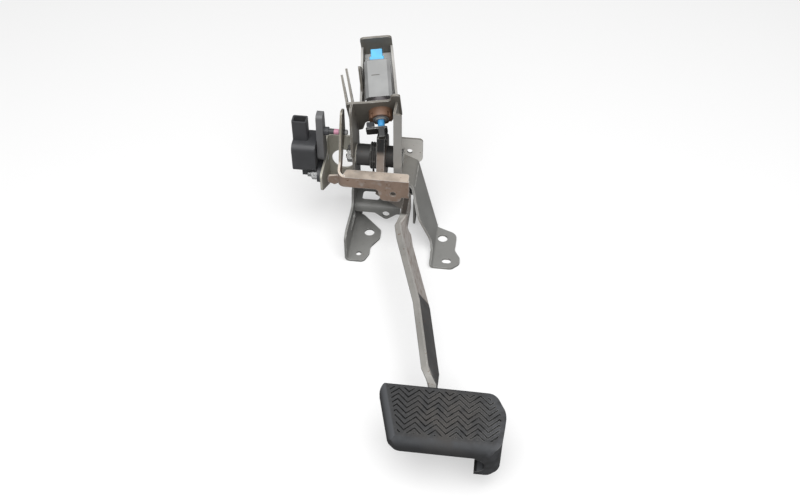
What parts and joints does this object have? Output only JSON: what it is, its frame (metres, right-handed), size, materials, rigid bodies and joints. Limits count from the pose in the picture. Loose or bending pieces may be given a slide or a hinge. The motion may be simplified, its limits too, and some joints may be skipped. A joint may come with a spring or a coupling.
{
  "type": "brake pedal assembly",
  "caption": "Suspended brake pedal on a pressed steel bracket, with a ribbed rubber pad, stop lamp switch and stroke sensor.",
  "frame": {"origin": "midway between the two large firewall bolt holes, on the face that meets the firewall", "axes": "+Z away from the firewall to the driver, +Y up in the car, +X to the driver's right"},
  "size_m": [0.2415, 0.4258, 0.1836],
  "materials": {
    "bracket_steel": "grey electro-coat, satin",
    "arm_steel": "worn dark grey paint",
    "lever_steel": "brownish chromate, worn",
    "zinc_steel": "zinc plated",
    "spring_steel": "black oxide",
    "pad_rubber": "moulded, worn matte",
    "black_plastic": "moulded",
    "pin_plastic": "black with a pink paint band",
    "grey_plastic": "moulded",
    "brown_plastic": "moulded",
    "blue_plastic": "moulded",
    "bush_plastic": "moulded",
    "terminal_brass": "tinned"
  },
  "bodies": {
    "bracket": {"left_side_plate": "bracket_steel", "right_side_plate": "bracket_steel", "cross_plate": "bracket_steel", "switch_seat": "bracket_steel", "cowl_bracket": "bracket_steel", "sensor_bracket": "bracket_steel", "pivot_bolt": "zinc_steel", "pivot_nut": "zinc_steel", "pivot_sleeve": "zinc_steel", "return_spring": "spring_steel", "switch_body": "grey_plastic", "switch_adjuster": "brown_plastic", "switch_insert": "blue_plastic", "switch_terminals": "terminal_brass", "sensor_housing": "black_plastic", "sensor_terminals": "terminal_brass", "sensor_studs": "zinc_steel", "sensor_nuts": "zinc_steel"},
    "pedal": {"pedal_arm": "arm_steel", "pivot_tube": "spring_steel", "pivot_bush_left": "bush_plastic", "pivot_bush_right": "bush_plastic", "stopper_cushion": "pad_rubber", "drive_lever": "lever_steel", "pedal_plate": "arm_steel", "pedal_pad": "pad_rubber"},
    "plunger": {"switch_plunger": "blue_plastic"},
    "sensor_rotor": {"sensor_lever": "black_plastic", "sensor_pin": "pin_plastic"}
  },
  "joints": [
    {"name": "pedal_pivot", "type": "hinge", "parent": "bracket", "child": "pedal", "pos_m": [0, 0.037, 0.08], "axis": [1, 0, 0], "range_deg": [0, 18], "stiffness_Nm_per_rad": 8, "springref_deg": -22.92, "deforming": ["return_spring"]},
    {"name": "plunger_slide", "type": "slide", "parent": "bracket", "child": "plunger", "axis": [0.1721, -0.8677, -0.4664], "range_m": [0, 0.004]},
    {"name": "sensor_turn", "type": "hinge", "parent": "bracket", "child": "sensor_rotor", "pos_m": [0, 0.037, 0.08], "axis": [1, 0, 0], "range_deg": [0, 18.5]}
  ],
  "couplings": [
    {"joint": "plunger_slide", "follows": "pedal_pivot", "m_per_rad": 0.0115},
    {"joint": "sensor_turn", "follows": "pedal_pivot", "ratio": 1}
  ]
}
